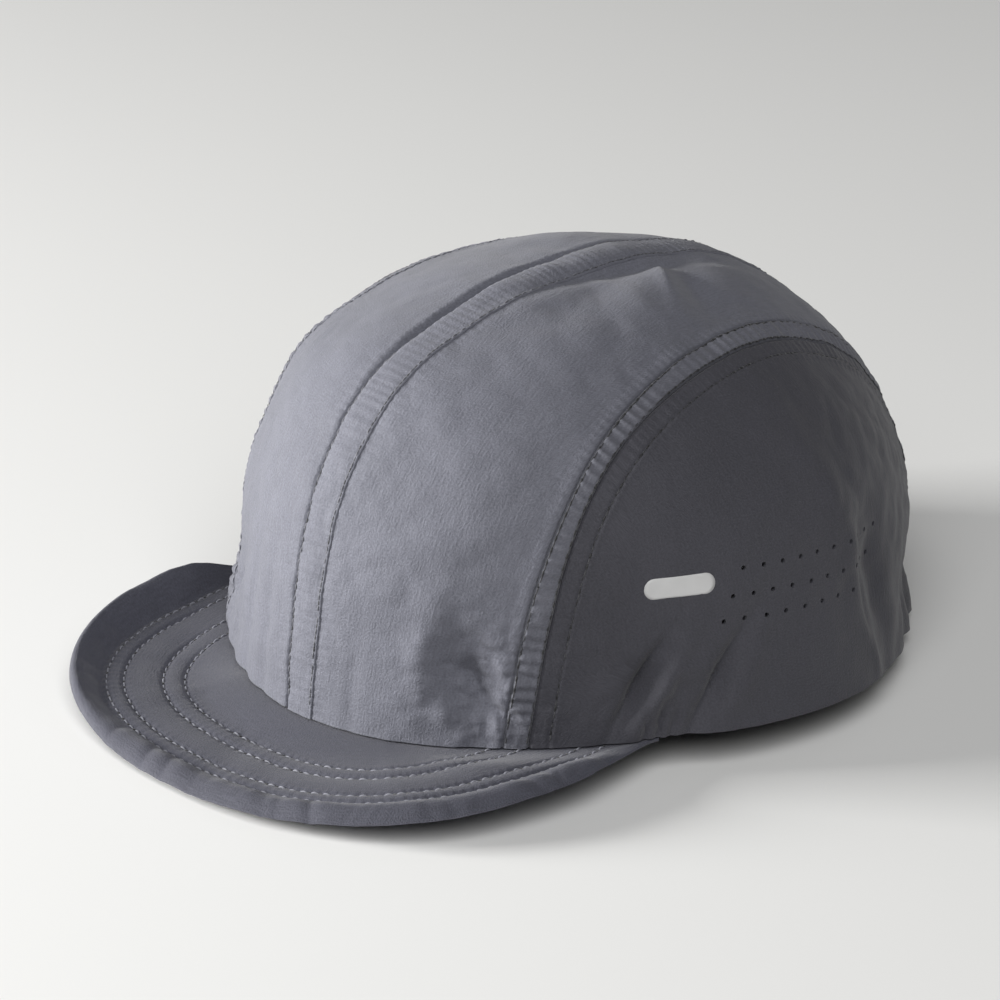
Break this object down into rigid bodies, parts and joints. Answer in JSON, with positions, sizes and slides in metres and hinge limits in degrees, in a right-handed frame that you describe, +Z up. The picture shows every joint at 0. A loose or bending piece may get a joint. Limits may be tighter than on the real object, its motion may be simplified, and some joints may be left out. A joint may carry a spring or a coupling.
{
  "type": "running cap",
  "caption": "Soft unlined running cap with a raised centre strip, arched puckered side bindings, punched side panels and a short padded brim.",
  "frame": {"origin": "middle of the bottom of the cap's box, on the surface that it lies on", "axes": "+Z up, -Y to the front where the brim is, +X to the wearer's left"},
  "size_m": [0.1696, 0.2364, 0.1019],
  "materials": {
    "crown_cloth": "matt slate grey woven nylon",
    "side_cloth": "matt slate grey woven nylon, punched",
    "strip_cloth": "matt slate grey woven nylon, doubled",
    "binding_cloth": "matt slate grey woven nylon, puckered",
    "brim_cloth": "matt slate grey woven nylon over a soft pad",
    "thread": "grey polyester sewing thread",
    "reflective_print": "light grey reflective print"
  },
  "bodies": {
    "root": {"crown_panel_left": "crown_cloth", "crown_panel_right": "crown_cloth", "center_seam_strip": "strip_cloth", "arch_binding_left": "binding_cloth", "arch_binding_right": "binding_cloth", "side_panel_left": "side_cloth", "side_panel_right": "side_cloth", "brim": "brim_cloth"}
  },
  "joints": []
}
